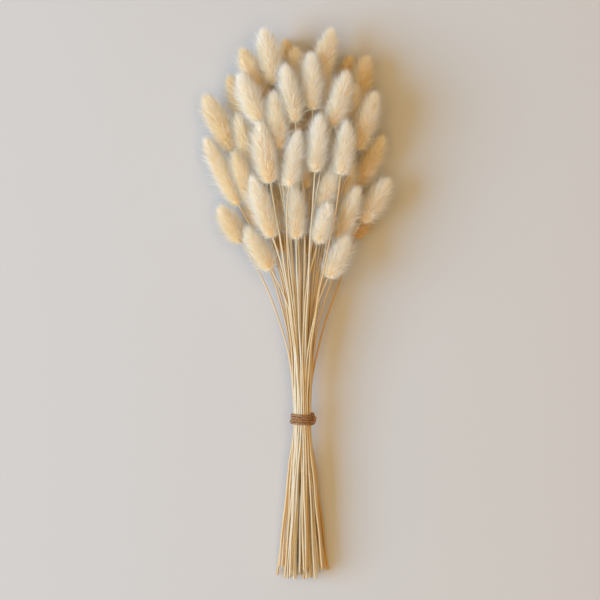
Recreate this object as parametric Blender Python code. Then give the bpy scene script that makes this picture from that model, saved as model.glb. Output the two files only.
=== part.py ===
"""A bunch of dried bunny tail grass, tied once with brown twine and lying on a flat surface.

Each stalk is one solid: a thin stem that carries one soft, egg-shaped head. The heads lie towards +Y and the
cut ends towards -Y, and the surface that the bunch lies on is z = 0. Lengths in the tables are millimetres;
the finished meshes are in metres. The origin is under the middle of the bunch.
"""

import math
import random

import bmesh
import bpy
import numpy as np
from mathutils import Matrix, Vector

MM = 0.001

# Stems: radius at the neck of the head, under the tie and at the cut end.
NECK_RADIUS = 0.5
WAIST_RADIUS = 0.6
CUT_RADIUS = 0.75
CUT_END = -113.0            # mean place of the cut ends along Y, with the tie at 0
CUT_SPREAD = 5.5            # how far a cut end may lie either side of that
STEM_STEP = 30.0            # distance between the rings of a stem, above the tie
CUT_RUNS = 4                # runs between rings from the cut end to the tie
STRAIGHT_HALF = 6.0         # the stems run straight this far either side of the tie

# Heads: the solid is the firm middle of the fluff, and the soft ends of the hairs stand outside it.
FIRM = 0.86                 # firm width as a share of the fluffy width
FIRM_LENGTH = 0.93          # firm length as a share of the whole head
HEAD_RINGS = (0.07, 0.22, 0.42, 0.65, 0.86)     # shares of the head's length, neck to tip
STEM_SIDES = 6
HEAD_SIDES = 8
STEM_FLAT = math.cos(math.pi / STEM_SIDES)      # from the middle of a stem to its flat lower side
HEAD_FLAT = math.cos(math.pi / HEAD_SIDES)
PRESS = 0.6                 # how far the lowest heads are pressed flat by the weight of the bunch
LOW_WIDEST = 0.72           # under 1, this moves the widest place of a head towards its base
SQUARENESS = 2.2            # over 2, this keeps a head full along its middle
ROUND_ENDS = 0.65           # near 0.5, a head's base is as round as a ball

# The bunch: its middle line climbs gently from the cut ends to the heads.
TIE_HEIGHT = 19.0
CLIMB = 0.045
CLIMB_TO_TIE = 0.08
BUNDLE_RADIUS = 6.6         # of the round pack of stems inside the tie
SLOT_REACH = 0.72           # a stem's own place in the tie, as a share of that radius
SLOT_DEPTH = 0.8            # the same upwards, against sideways
SIDE_REACH = 38.0           # a head this far to one side has its stem at the side of the tie
FLARE_LEAST = 2.7           # how much wider the stems stand at the cut ends than in the tie
FLARE_MOST = 4.1
FLARE_UP = 0.7              # the same upwards, against sideways: the weight presses the cut ends flat
MOST_TWIST = math.radians(24)   # a stem may cross to one side below the tie by this turn
HALF_DEPTH = 26.0           # half the depth of the bunch where the heads are
DEPTH_REACH = 190.0         # distance from the tie where that depth is reached
DEPTH_POWER = 1.5           # over 1, the bunch opens slowly at first
NEAR_DEPTH = 0.6            # the topmost and lowest heads lie this many bundle radii inside that depth
HEAD_RISE = 0.55            # an upper head tilts up by this share of its stem's climb
CLEARANCE = 0.34            # between any two pieces

# Twine: four turns and a knot at the right-hand side.
TWINE_RADIUS = 0.85
TWINE_PITCH = 2.05
TWINE_TURNS = 4
TWINE_STEPS = 18            # rings in each turn
TWINE_GAP = 0.3             # between the stems and the twine
KNOT_SIZE = (3.2, 5.8, 4.2)
KNOT_STANDS_OFF = 0.1       # how much further out than the twine the knot begins

# Settling: rounds, distance between the cutting planes and looseness of a first, rough stage and of a last,
# fine one, and how strongly each round draws a head back to its own place, across and upwards.
SETTLING = ((1100, 4.0, 1.0), (400, 2.0, 0.2))
PULL_HOME = (0.012, 0.004)
STEM_PULL = 0.3             # how strongly a stem is drawn home, against its head
HEAD_MOBILITY = 0.35        # how easily a head gives way, against a stem
HEADS_SIDEWAYS = 0.55       # how readily two heads part sideways, against upwards
LEVEL_BIAS = 0.5            # how strongly the stalk with the higher level goes over the other, in mm
NUDGE = 1e-4                # parts two stalks that cross at the same height
PUSH = 0.9                  # shares of the needed shift made in a round
SMOOTHING = 0.35
HOLD = 0.8

SHARP_FROM = math.radians(50)   # an edge that turns by more than this looks sharp
STRAW = (0.66, 0.50, 0.31)
DARKEST, LIGHTEST = 0.92, 1.08  # the stalks' colours, as shares of that one
JUTE = (0.24, 0.13, 0.06)
CHANCE = 7                      # seed of everything that varies from stalk to stalk

# Neck x, neck y, tip x, tip y, height in the bunch from -1 (under) to 1 (on top), width of the fluff.
HEADS = (
    (-19, 243, -29, 285, 0.15, 18),
    (-27, 227, -44, 271, 0.1, 18),
    (-35, 211, -54, 252, -0.55, 17),
    (-28, 215, -45, 251, 0.35, 18),
    (-49, 196, -71, 238, -0.2, 18),
    (-43, 156, -72, 207, -0.5, 16),
    (-6, 215, -13, 258, 0.65, 16),
    (0, 229, -6, 273, -0.35, 17),
    (15, 240, 20, 286, 0.1, 16),
    (7, 224, 7, 267, 0.4, 16),
    (38, 228, 48, 267, -0.45, 16),
    (23, 212, 32, 253, 0.6, 16),
    (39, 196, 52, 239, 0.15, 16),
    (36, 169, 60, 208, -0.3, 16),
    (43, 144, 64, 176, -0.2, 16),
    (39, 132, 54, 173, -0.9, 16),
    (22, 130, 39, 170, 0.2, 16),
    (18, 103, 33, 135, 0.75, 15),
    (10, 128, 19, 158, 1.0, 15),
    (12, 153, 22, 186, 0.6, 15),
    (28, 177, 32, 217, 0.9, 15),
    (9, 179, 13, 222, 1.0, 15),
    (2, 192, 3, 235, -0.1, 16),
    (-8, 168, -3, 210, 0.95, 15),
    (-6, 131, -7, 172, 1.0, 15),
    (-23, 171, -31, 217, 0.95, 18),
    (-15, 195, -21, 239, 0.7, 16),
    (-21, 132, -37, 178, 0.6, 17),
    (-32, 156, -49, 196, -0.1, 17),
    (-44, 129, -61, 156, -0.5, 15),
    (-22, 109, -41, 140, 0.1, 16),
    (-36, 180, -49, 224, -0.25, 17),
    (-13, 137, -15, 182, 0.05, 16),
    (6, 142, 8, 184, 0.0, 16),
    (-3, 150, -4, 192, -1.0, 16),
    (19, 143, 26, 185, -1.0, 16),
    (-22, 146, -31, 189, -1.0, 16),
    (8, 197, 10, 240, -1.0, 16),
    (-13, 192, -17, 236, -1.0, 16),
    (27, 188, 36, 230, -1.0, 16),
    (-30, 194, -41, 236, -1.0, 16),
    (12, 236, 15, 278, -1.0, 16),
    (-9, 238, -13, 280, -1.0, 16),
    (27, 226, 35, 268, -1.0, 16),
    (-24, 228, -34, 268, -1.0, 16),
    (1, 164, 1, 206, -0.4, 16),
    (18, 170, 22, 213, -0.1, 16),
    (-16, 214, -23, 257, -0.1, 16),
    (4, 120, 6, 160, -1.0, 15),
    (-14, 122, -20, 160, -1.0, 15),
    (-6, 200, -8, 243, 0.15, 16),
    (15, 208, 19, 250, 0.1, 16),
    (31, 204, 41, 246, -0.2, 16),
    (-11, 160, -14, 203, 0.3, 16),
    (4, 168, 5, 210, 0.25, 15),
    (-29, 140, -41, 180, -0.35, 16),
    (-20, 178, -27, 220, 0.2, 16),
    (28, 150, 37, 190, -0.3, 16),
)


def middle_height(along):
    """Height of the middle line of the bunch at a distance along Y."""
    return TIE_HEIGHT + (CLIMB if along > 0 else CLIMB_TO_TIE) * along


def half_depth(along):
    """Half the depth of the bunch at a distance from the tie, where it is least."""
    share = min(abs(along) / DEPTH_REACH, 1.0)
    return BUNDLE_RADIUS + (HALF_DEPTH - BUNDLE_RADIUS) * share ** DEPTH_POWER


def head_fullness(share):
    """Width of a head as a share of its widest, at a share of its length: a round base and a narrow tip."""
    from_widest = 2.0 * share ** LOW_WIDEST - 1.0
    return max(1.0 - abs(from_widest) ** SQUARENESS, 0.0) ** ROUND_ENDS


def hermite(share, start, start_slope, end, end_slope, span):
    """A smooth curve between two values with the slopes given at its ends."""
    a, b = share * share, share ** 3
    return ((2 * b - 3 * a + 1) * start + (b - 2 * a + share) * span * start_slope
            + (3 * a - 2 * b) * end + (b - a) * span * end_slope)


class Stalk:
    """One stem with its head: a run of rings across Y, each with a centre and a radius."""

    def __init__(self, row, chance):
        self.neck_x, self.neck_y, tip_x, tip_y, self.level, self.width = row
        self.length = (tip_y - self.neck_y) * FIRM_LENGTH
        self.lean = (tip_x - self.neck_x) / (tip_y - self.neck_y)
        rested = self.width * FIRM / 2 * HEAD_FLAT - PRESS / 2
        lift = self.level * (half_depth(self.neck_y) - NEAR_DEPTH * BUNDLE_RADIUS)
        self.neck_z = max(middle_height(self.neck_y) + lift, rested)
        self.rise = HEAD_RISE * (self.neck_z - TIE_HEIGHT) / self.neck_y if self.level > 0 else 0.0

        self.cut = CUT_END + CUT_SPREAD * (2 * chance.random() - 1)
        aside = max(-1.0, min(1.0, self.neck_x / SIDE_REACH))
        self.slot = Vector((aside, SLOT_DEPTH * self.level)) * BUNDLE_RADIUS * SLOT_REACH
        self.foot = Matrix.Rotation(MOST_TWIST * (2 * chance.random() - 1), 2) @ self.slot
        self.foot *= FLARE_LEAST + (FLARE_MOST - FLARE_LEAST) * chance.random()
        self.foot.y *= FLARE_UP

        before = [self.cut + (-STRAIGHT_HALF - self.cut) * run / CUT_RUNS for run in range(CUT_RUNS)]
        span = self.neck_y - STRAIGHT_HALF
        runs = round(span / STEM_STEP)
        after = [STRAIGHT_HALF + span * run / runs for run in range(1, runs + 1)]
        stem = before + [-STRAIGHT_HALF, STRAIGHT_HALF] + after
        head = [self.neck_y + self.length * share for share in HEAD_RINGS + (1.0,)]
        self.stem_rings = len(stem)
        self.along = np.array(stem + head)
        self.place = np.array([self.stem_place(along) for along in stem]
                              + [self.head_place(along) for along in head])
        self.radius = np.array([self.stem_radius(along) for along in stem]
                               + [self.head_radius(along) for along in head])
        slopes = np.gradient(self.place, self.along, axis=0)
        self.stretch = np.sqrt(1.0 + (slopes ** 2).sum(axis=1))

    def stem_place(self, along):
        """The stem runs straight through the tie and opens out in a curve either side of it."""
        if along < 0:
            share = (along + STRAIGHT_HALF) / (self.cut + STRAIGHT_HALF)
            place = self.slot.lerp(self.foot, share)
            return place.x, place.y + middle_height(along)
        span = self.neck_y - STRAIGHT_HALF
        share = (along - STRAIGHT_HALF) / span
        return (hermite(share, self.slot.x, 0.0, self.neck_x, self.lean, span),
                hermite(share, self.slot.y + TIE_HEIGHT, CLIMB, self.neck_z, self.rise, span))

    def head_place(self, along):
        """A head goes straight on in the direction of its neck."""
        return (self.neck_x + self.lean * (along - self.neck_y),
                self.neck_z + self.rise * (along - self.neck_y))

    def stem_radius(self, along):
        """Stems taper from the cut end to the neck of the head."""
        if along < 0:
            return WAIST_RADIUS + (CUT_RADIUS - WAIST_RADIUS) * along / self.cut
        return WAIST_RADIUS + (NECK_RADIUS - WAIST_RADIUS) * along / self.neck_y

    def head_radius(self, along):
        """Radius of the firm middle of the head."""
        return head_fullness((along - self.neck_y) / self.length) * self.width * FIRM / 2


class Pack:
    """Settles the stalks against each other, the tie and the surface, until none overlaps another."""

    def __init__(self, stalks):
        self.stalks = stalks
        self.count = len(stalks)
        self.rings = max(len(stalk.along) for stalk in stalks)
        shape = (self.count, self.rings)
        self.along = np.zeros(shape)
        self.place = np.zeros(shape + (2,))
        self.radius = np.zeros(shape)
        self.used = np.zeros(shape, bool)
        self.waist = np.zeros(shape, bool)
        for row, stalk in enumerate(stalks):
            here = slice(0, len(stalk.along))
            self.along[row, here] = stalk.along
            self.place[row, here] = stalk.place
            self.radius[row, here] = stalk.radius * stalk.stretch
            self.used[row, here] = True
            self.waist[row, here] = np.abs(stalk.along) <= STRAIGHT_HALF + 0.01
        self.aim = self.place.copy()
        self.level = np.array([stalk.level for stalk in stalks])
        self.in_head = np.zeros(shape, bool)
        for row, stalk in enumerate(stalks):
            self.in_head[row, stalk.stem_rings - 1:len(stalk.along)] = True
        self.fit_heads()

    def slice_up(self, step):
        """Find where each cutting plane, a step from the last, meets each stalk, and how thick it is there."""
        low = min(stalk.along[0] for stalk in self.stalks)
        high = max(stalk.along[-1] for stalk in self.stalks)
        planes = np.arange(low, high, step)
        self.ring = np.zeros((len(planes), self.count), int)
        self.share = np.zeros((len(planes), self.count))
        self.present = np.zeros((len(planes), self.count), bool)
        for column, stalk in enumerate(self.stalks):
            ring = np.clip(np.searchsorted(stalk.along, planes) - 1, 0, len(stalk.along) - 2)
            gap = stalk.along[ring + 1] - stalk.along[ring]
            self.ring[:, column] = ring
            self.share[:, column] = (planes - stalk.along[ring]) / gap
            self.present[:, column] = (planes >= stalk.along[0]) & (planes <= stalk.along[-1])
        column = np.arange(self.count)[None, :]
        near = self.radius[column, self.ring]
        far = self.radius[column, self.ring + 1]
        self.thick = near * (1 - self.share) + far * self.share
        head = self.in_head[column, self.ring]
        self.mobile = np.where(head, HEAD_MOBILITY, 1.0)
        self.head_plane = head
        both = self.present[:, :, None] & self.present[:, None, :]
        self.pairs = both & np.triu(np.ones((self.count, self.count), bool), 1)[None]
        self.reach = self.thick[:, :, None] + self.thick[:, None, :] + CLEARANCE

    def fit_heads(self):
        """Prepare to keep each head straight: its rings move together, with one shift and one tilt."""
        self.straighten = []
        for row, stalk in enumerate(self.stalks):
            rings = np.arange(stalk.stem_rings - 1, len(stalk.along))
            basis = np.stack([np.ones(len(rings)), stalk.along[rings]], axis=1)
            self.straighten.append((row, rings, basis @ np.linalg.pinv(basis)))

    def contacts(self):
        """The pairs of stalks that are too close in a plane, and how far apart their centres lie."""
        column = np.arange(self.count)[None, :]
        share = self.share[..., None]
        here = self.place[column, self.ring] * (1 - share) + self.place[column, self.ring + 1] * share
        apart_x = here[:, :, None, 0] - here[:, None, :, 0]
        apart_z = here[:, :, None, 1] - here[:, None, :, 1]
        close = self.pairs & (apart_x ** 2 + apart_z ** 2 < self.reach ** 2)
        plane, one, two = np.nonzero(close)
        return plane, one, two, apart_x[plane, one, two], apart_z[plane, one, two]

    def push_apart(self, strength):
        """Move each stalk of such a pair away from the other, by its share of what is missing."""
        plane, one, two, dx, dz = self.contacts()
        distance = np.sqrt(dx ** 2 + dz ** 2)
        depth = self.reach[plane, one, two] - distance
        heads = self.head_plane[plane, one] & self.head_plane[plane, two]
        way_x = np.where(heads, HEADS_SIDEWAYS, 1.0) * dx
        way_z = dz + LEVEL_BIAS * (self.level[one] - self.level[two]) + NUDGE
        size = np.sqrt(way_x ** 2 + way_z ** 2)
        way = np.stack([way_x / size, way_z / size], axis=1)
        move_one = self.mobile[plane, one]
        move_two = self.mobile[plane, two]
        total = move_one + move_two
        shift = np.zeros_like(self.place)
        weight = np.full(self.along.shape, 1e-9)
        for stalk, sign, move in ((one, 1.0, move_one), (two, -1.0, move_two)):
            ring = self.ring[plane, stalk]
            share = self.share[plane, stalk]
            amount = (sign * depth * move / total)[:, None] * way
            for offset, part in ((0, 1 - share), (1, share)):
                np.add.at(shift, (stalk, ring + offset), amount * part[:, None])
                np.add.at(weight, (stalk, ring + offset), part)
        self.place += strength * shift / weight[..., None]

    def smooth(self, strength):
        """Spread each shift along its stalk, so that no stem is left with a kink."""
        moved = self.place - self.aim
        before = self.along[:, 1:-1] - self.along[:, :-2]
        after = self.along[:, 2:] - self.along[:, 1:-1]
        inner = self.used[:, 2:] & ~self.waist[:, 1:-1]
        total = np.where(inner, before + after, 1.0)
        even = (moved[:, :-2] * after[..., None] + moved[:, 2:] * before[..., None]) / total[..., None]
        change = np.where(inner[..., None], even - moved[:, 1:-1], 0.0)
        moved[:, 1:-1] += strength * change
        self.place = self.aim + moved

    def hold_heads(self, strength):
        """Bring the rings of each head back to one straight line."""
        moved = self.place - self.aim
        for row, rings, fit in self.straighten:
            moved[row, rings] += strength * (fit @ moved[row, rings] - moved[row, rings])
        self.place = self.aim + moved

    def limit(self):
        """Keep the waists inside the tie and everything above the surface."""
        x, z = self.place[..., 0], self.place[..., 1]
        centre = TIE_HEIGHT + np.where(self.along > 0, CLIMB, CLIMB_TO_TIE) * self.along
        out = np.sqrt(x ** 2 + (z - centre) ** 2)
        room = BUNDLE_RADIUS - self.radius
        press = np.where(self.waist & (out > room), room / np.maximum(out, 1e-6), 1.0)
        self.place[..., 0] = x * press
        self.place[..., 1] = centre + (z - centre) * press
        floor = np.where(self.in_head, self.radius * HEAD_FLAT - PRESS, self.radius * STEM_FLAT)
        self.place[..., 1] = np.where(self.used, np.maximum(self.place[..., 1], floor), 0.0)

    def settle(self, rounds, step, looseness):
        """Push, smooth and hold in turn; the smoothing and the pull home fade from their looseness to none."""
        self.slice_up(step)
        for turn in range(rounds):
            left = looseness * (1.0 - turn / rounds)
            pull = np.where(self.in_head, 1.0, STEM_PULL)[..., None] * np.array(PULL_HOME) * left
            self.place += (self.aim - self.place) * pull
            self.push_apart(PUSH)
            self.smooth(SMOOTHING * left)
            self.hold_heads(HOLD)
            self.limit()
            self.place = np.round(self.place, 6)


def ring_points(along, place, radius, slope, sides):
    """The cut of a leaning round tube by a plane across Y, with a flat side underneath."""
    lean = Vector(slope)
    stretch = math.sqrt(1.0 + lean.length_squared)
    way = lean.normalized() if lean.length > 1e-6 else Vector((1.0, 0.0))
    first = 0.0 if sides == STEM_SIDES else math.pi / sides
    points = []
    for side in range(sides):
        angle = first + side * math.tau / sides
        spoke = Vector((math.cos(angle), math.sin(angle)))
        spoke += way * (stretch - 1.0) * spoke.dot(way)
        height = max(place[1] + radius * spoke.y, 0.0)
        points.append(Vector((place[0] + radius * spoke.x, along, height)))
    return points


def add_ring(mesh, points):
    """A closed loop of edges through the points."""
    made = bmesh.ops.create_circle(mesh, segments=len(points), radius=1.0)
    for vertex, point in zip(made["verts"], points):
        vertex.co = point * MM
    return list({edge for vertex in made["verts"] for edge in vertex.link_edges})


def loft(rings, tip=None):
    """A closed body through a run of rings, flat at its start and flat or pointed at its end."""
    mesh = bmesh.new()
    loops = [add_ring(mesh, points) for points in rings]
    for near, far in zip(loops, loops[1:]):
        bmesh.ops.bridge_loops(mesh, edges=near + far)
    bmesh.ops.contextual_create(mesh, geom=loops[0])
    end = bmesh.ops.contextual_create(mesh, geom=loops[-1])["faces"]
    if tip is not None:
        peak = bmesh.ops.poke(mesh, faces=end)["verts"][0]
        peak.co = tip * MM
    bmesh.ops.recalc_face_normals(mesh, faces=mesh.faces)
    return mesh


def stalk_mesh(stalk, places):
    """Stem and head in one closed body, from the flat cut end to the point of the head."""
    slopes = np.gradient(places, stalk.along, axis=0)
    rings = []
    for number in range(len(stalk.along) - 1):
        sides = STEM_SIDES if number < stalk.stem_rings else HEAD_SIDES
        rings.append(ring_points(stalk.along[number], places[number], stalk.radius[number],
                                 slopes[number], sides))
    tip = Vector((places[-1][0], stalk.along[-1], places[-1][1]))
    return loft(rings, tip)


def twine_path(turns):
    """Place and direction on the winding after a number of turns, which begins and ends at the knot."""
    radius = BUNDLE_RADIUS + TWINE_GAP + TWINE_RADIUS
    angle = turns * math.tau
    along = TWINE_PITCH * (turns - TWINE_TURNS / 2)
    rise = TWINE_PITCH / math.tau
    place = Vector((radius * math.cos(angle), along, middle_height(along) + radius * math.sin(angle)))
    way = Vector((-radius * math.sin(angle), rise, radius * math.cos(angle))).normalized()
    return place, way


def twine_mesh():
    """The winding, as one round cord with flat ends."""
    rings = []
    for step in range(TWINE_TURNS * TWINE_STEPS + 1):
        place, way = twine_path(step / TWINE_STEPS)
        out = Vector((place.x, 0.0, place.z - TIE_HEIGHT)).normalized()
        side = way.cross(out).normalized()
        out = side.cross(way)
        turn = [corner * math.tau / HEAD_SIDES for corner in range(HEAD_SIDES)]
        rings.append([place + TWINE_RADIUS * (math.cos(a) * out + math.sin(a) * side) for a in turn])
    return loft(rings)


def knot_mesh():
    """A rounded lump at the right-hand side, where the winding begins and ends."""
    mesh = bmesh.new()
    bmesh.ops.create_uvsphere(mesh, u_segments=10, v_segments=7, radius=0.5)
    bmesh.ops.scale(mesh, vec=Vector(KNOT_SIZE) * MM, verts=mesh.verts)
    reach = BUNDLE_RADIUS + TWINE_GAP + KNOT_SIZE[0] / 2 + KNOT_STANDS_OFF
    bmesh.ops.translate(mesh, vec=Vector((reach, 0.0, TIE_HEIGHT)) * MM, verts=mesh.verts)
    return mesh


def material(name, colour, roughness):
    """A plain finish."""
    made = bpy.data.materials.new(name)
    made.use_nodes = True
    shader = made.node_tree.nodes["Principled BSDF"]
    shader.inputs["Base Color"].default_value = (*colour, 1.0)
    shader.inputs["Roughness"].default_value = roughness
    shader.inputs["Metallic"].default_value = 0.0
    return made


def add_object(name, mesh, finish, offset):
    """Move a finished mesh to its place and put it into the scene under its name."""
    bmesh.ops.translate(mesh, vec=offset, verts=mesh.verts)
    data = bpy.data.meshes.new(name)
    mesh.to_mesh(data)
    mesh.free()
    data.shade_smooth()
    data.set_sharp_from_angle(angle=SHARP_FROM)
    data.materials.append(finish)
    made = bpy.data.objects.new(name, data)
    bpy.context.collection.objects.link(made)
    return made


def tie_knot(twine, finish, offset):
    """Join the knot to the winding."""
    knot = add_object("knot_guide", knot_mesh(), finish, offset)
    knot.hide_render = True
    knot.display_type = "WIRE"
    union = twine.modifiers.new("knot", "BOOLEAN")
    union.operation = "UNION"
    union.object = knot


def main():
    for old in list(bpy.data.objects):
        bpy.data.objects.remove(old, do_unlink=True)
    chance = random.Random(CHANCE)
    stalks = [Stalk(row, chance) for row in HEADS]
    pack = Pack(stalks)
    for rounds, step, looseness in SETTLING:
        pack.settle(rounds, step, looseness)

    meshes = [stalk_mesh(stalk, pack.place[row, :len(stalk.along)]) for row, stalk in enumerate(stalks)]
    corners = np.array([vertex.co for mesh in meshes for vertex in mesh.verts])
    low, high = corners.min(axis=0), corners.max(axis=0)
    offset = Vector((-(low[0] + high[0]) / 2, -(low[1] + high[1]) / 2, -low[2]))
    for number, mesh in enumerate(meshes, start=1):
        shade = chance.uniform(DARKEST, LIGHTEST)
        straw = material(f"dried_grass_{number:02d}", [part * shade for part in STRAW], 0.85)
        add_object(f"stalk_{number:02d}", mesh, straw, offset)

    jute = material("jute_twine", JUTE, 0.9)
    twine = add_object("twine_tie", twine_mesh(), jute, offset)
    tie_knot(twine, jute, offset)


main()
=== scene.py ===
"""The looks of a tied bunch of dried bunny tail grass: fluffy heads, straw stems, twine and a plain floor.

Each stalk of the solid model gives the place of one head and one stem. A head is a firm core that carries
thousands of soft hairs, a stem is a tapered straw with a joint and a hollow cut end, and the tie is a twisted
cord that is wound, crossed over itself and knotted. Lengths are metres, and a number times MM is millimetres.
"""

import math

import bmesh
import bpy
import numpy as np
from bpy.props import FloatProperty, FloatVectorProperty, IntProperty, PointerProperty
from mathutils import Matrix, Vector


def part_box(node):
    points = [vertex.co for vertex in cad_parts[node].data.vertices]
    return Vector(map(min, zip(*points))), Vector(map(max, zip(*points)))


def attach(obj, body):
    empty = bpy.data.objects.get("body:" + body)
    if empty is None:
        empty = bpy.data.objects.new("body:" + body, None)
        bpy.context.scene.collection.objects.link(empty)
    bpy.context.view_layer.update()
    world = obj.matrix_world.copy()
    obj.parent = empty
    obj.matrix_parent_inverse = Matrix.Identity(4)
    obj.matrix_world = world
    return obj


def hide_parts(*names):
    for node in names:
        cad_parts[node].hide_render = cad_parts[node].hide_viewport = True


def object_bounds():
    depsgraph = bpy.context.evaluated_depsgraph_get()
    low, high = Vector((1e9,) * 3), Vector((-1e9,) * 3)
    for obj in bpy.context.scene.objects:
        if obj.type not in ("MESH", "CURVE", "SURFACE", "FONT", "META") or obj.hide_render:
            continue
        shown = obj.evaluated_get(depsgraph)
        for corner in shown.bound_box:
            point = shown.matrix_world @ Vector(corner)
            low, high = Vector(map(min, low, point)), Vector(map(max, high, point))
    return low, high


bl_info = {
    "name": "Bunny Tail Bunch",
    "version": (1, 0, 0),
    "blender": (4, 5, 0),
    "location": "3D View > Sidebar > Bunch",
    "description": "Gives a tied bunch of dried bunny tail grass its fluffy heads, straw stems and twine",
    "category": "Object",
}

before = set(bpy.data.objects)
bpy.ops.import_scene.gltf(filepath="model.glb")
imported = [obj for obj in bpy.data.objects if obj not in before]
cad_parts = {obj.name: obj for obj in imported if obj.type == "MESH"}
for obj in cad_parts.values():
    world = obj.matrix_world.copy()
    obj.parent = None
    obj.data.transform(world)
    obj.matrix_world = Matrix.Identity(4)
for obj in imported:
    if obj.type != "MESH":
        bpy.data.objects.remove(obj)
CAD_LOW, CAD_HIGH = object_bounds()

MM = 0.001
BODY = "root"
STALKS = sorted(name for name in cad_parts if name.startswith("stalk_"))
TIE = "twine_tie"
UP = (0.0, 0.0, 1.0)
UV_LAYER = "UVMap"
HEAD_SEED, STEM_SEED, TWINE_SEED = 100, 500, 900
GOLDEN_ANGLE = math.pi * (3 - math.sqrt(5))     # steps by this turn spread hairs evenly round a head
MERGE = 1e-6                                    # corners nearer than this are one

# How the solid of a stalk stands for the real one.
RING_GAP = 0.1 * MM         # rings of the solid are further apart than this along the stalk
HEAD_RINGS = 6              # rings above the neck, with the tip
WIDEST_RING = -4            # the ring where a head is widest
HEAD_SIDES = 8
FIRM = 0.86                 # the solid's width as a share of the fluff's
FIRM_LENGTH = 0.93          # the same for the head's length
LOW_WIDEST = 0.70           # the outline of a head, with ends a little fuller than the solid's
SQUARENESS = 2.4
ROUND_ENDS = 0.46
OUTLINE_STEPS = 240


def linear(code):
    """An sRGB hex colour as the linear numbers that shaders take."""
    parts = [int(code[place:place + 2], 16) / 255 for place in (1, 3, 5)]
    return tuple(part / 12.92 if part <= 0.04045 else ((part + 0.055) / 1.055) ** 2.4 for part in parts)


def colour(name, description, code):
    return FloatVectorProperty(
        name=name, description=description, subtype="COLOR", size=3, min=0.0, max=1.0, default=linear(code)
    )


def size(name, description, millimetres):
    return FloatProperty(
        name=name, description=description, unit="LENGTH", min=0.0, precision=5, default=millimetres * MM
    )


# --- Sizes and colours that a user may change ---------------------------------------------------------------


class HeadSettings(bpy.types.PropertyGroup):
    hairs: IntProperty(
        name="Hairs", description="Soft hairs on one head", min=100, max=12000, default=5150
    )
    awns: IntProperty(
        name="Awns", description="Stiffer bristles that stand out of the fluff", min=0, max=400, default=50
    )
    fluff: size("Fluff", "Depth of the fluff over the firm core", 4.8)
    flow: size("Flow", "How far a hair's tip lies beyond its root, towards the tip of the head", 3.0)
    hair_width: size("Hair radius", "Radius of a hair at its root", 0.205)
    tip_width: size("Tip width", "Radius of the soft round tip of a head", 3.0)
    wild: FloatProperty(
        name="Wild hairs", description="Share of the hairs that stand out of the fluff", min=0.0, max=1.0,
        default=0.7
    )
    clump: FloatProperty(
        name="Clumping", description="How far hairs lean together into tufts", min=0.0, max=1.0, default=0.35
    )
    softness: FloatProperty(
        name="Softness", description="How far hairs catch the light as one soft surface", min=0.0, max=1.0,
        default=0.3
    )
    tip_colour: colour("Tips", "The bleached ends of the hairs", "#FEFEFB")
    middle_colour: colour("Middles", "The hairs a quarter of the way along", "#FCF4E3")
    # The golden roots are partly the hairs' own colour and partly painted shade deep in the fluff.
    root_colour: colour("Roots", "The hairs where they leave the core", "#F1D8A2")
    # The tints follow each hair's shade, which holds painted light and shade: hidden, low heads get the
    # golden tint, heads on top the pale one.
    golden_tint: colour("Golden tint", "What the least bleached hairs are tinted with", "#ECCD8E")
    middle_tint: colour("Middle tint", "What half bleached hairs are tinted with", "#F8E9C8")
    pale_tint: colour("Pale tint", "What the most bleached hairs are tinted with", "#FFFFFF")


class StemSettings(bpy.types.PropertyGroup):
    sides: IntProperty(name="Sides", description="Sides of a stem", min=6, max=24, default=8)
    step: size("Step", "Distance between the rings of a stem", 7.5)
    pale_colour: colour("Pale straw", "The bleached skin of the straw", "#E6D9BC")
    gold_colour: colour("Golden straw", "Darker streaks in the straw", "#DFB165")
    # Painted shade: the straw is tinted golden near the heads, where it runs in their shade.
    neck_painted_shade: colour("Neck tint", "What the straw is tinted with near the heads", "#FFEDCB")
    joint_tint: colour("Joint tint", "What the rings where a leaf grew are tinted with", "#B98E58")


class TwineSettings(bpy.types.PropertyGroup):
    radius: size("Radius", "Radius of the twine", 0.95)
    turns: IntProperty(name="Turns", description="Turns of the winding", min=1, max=8, default=4)
    pitch: size("Pitch", "Distance between two turns", 1.92)
    lay: size("Lay", "Length in which the plies twist once round", 5.2)
    fibres: IntProperty(
        name="Fibres", description="Loose fibres on the twine", min=0, max=2000, default=420
    )
    light_colour: colour("Light fibre", "The paler fibres of the jute", "#C59A72")
    dark_colour: colour("Dark fibre", "The darker fibres of the jute", "#8A5A33")


class StageSettings(bpy.types.PropertyGroup):
    floor_colour: colour("Floor", "Pale plaster", "#D5D3D2")
    camera_height: size("Camera height", "Height of the camera over the floor", 2000)
    view_width: size("View width", "Width of the view at the height of the bunch", 437.2)


# --- Reading the solid model --------------------------------------------------------------------------------


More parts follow.
